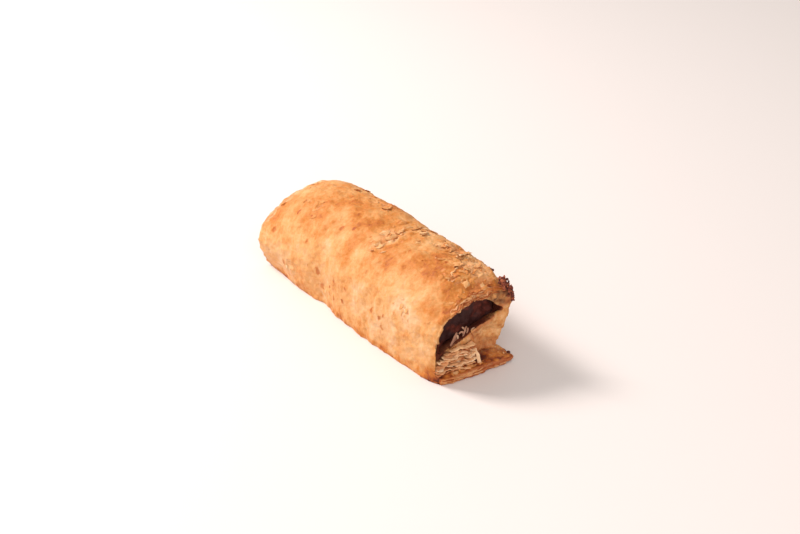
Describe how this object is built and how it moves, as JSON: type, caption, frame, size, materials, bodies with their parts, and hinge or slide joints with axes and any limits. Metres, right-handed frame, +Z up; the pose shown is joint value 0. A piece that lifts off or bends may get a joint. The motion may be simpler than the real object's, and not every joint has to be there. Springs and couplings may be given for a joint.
{
  "type": "sausage roll",
  "caption": "Baked sausage roll: puff pastry wrapped round a bar of sausage meat, open at its ends, with a lapped seam low on one long side.",
  "frame": {"origin": "on the surface the roll rests on, under the middle of its outer box", "axes": "+X along the roll towards its opened end, +Y towards the long side with the lapped seam, +Z up"},
  "size_m": [0.1436, 0.0496, 0.0453],
  "materials": {
    "baked_pastry": "baked puff pastry: golden, flaky, satin where the egg wash took, matt and pale where layers are torn",
    "cooked_meat": "roasted minced meat: dark brown, rough, slightly moist"
  },
  "bodies": {
    "root": {"pastry": "baked_pastry", "sausage_meat": "cooked_meat"}
  },
  "joints": []
}
